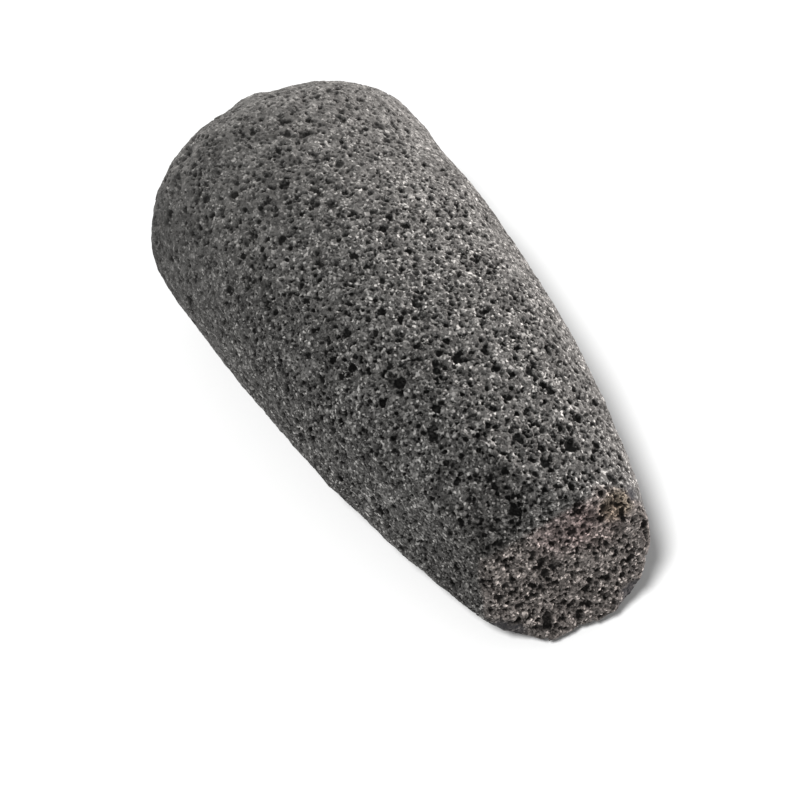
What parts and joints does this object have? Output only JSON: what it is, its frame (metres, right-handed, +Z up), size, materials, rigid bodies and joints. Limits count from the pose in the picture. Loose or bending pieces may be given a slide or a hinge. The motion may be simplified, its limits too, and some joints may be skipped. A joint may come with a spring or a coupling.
{
  "type": "molcajete hand stone",
  "caption": "Tapered hand stone of a molcajete, hewn from one block of grey vesicular basalt, with a blunt domed grinding end and a flat squarish hand end.",
  "frame": {"origin": "middle of the stone's underside, on the surface that it lies on", "axes": "+X along the stone towards the narrow hand end, +Z up from the flat that it rests on, +Y completes the right-handed frame"},
  "size_m": [0.1264, 0.0636, 0.0536],
  "materials": {
    "basalt": "hewn vesicular basalt, matt mid to dark grey, full of open gas pits, with small pale crystals"
  },
  "bodies": {
    "root": {"tejolote": "basalt"}
  },
  "joints": []
}
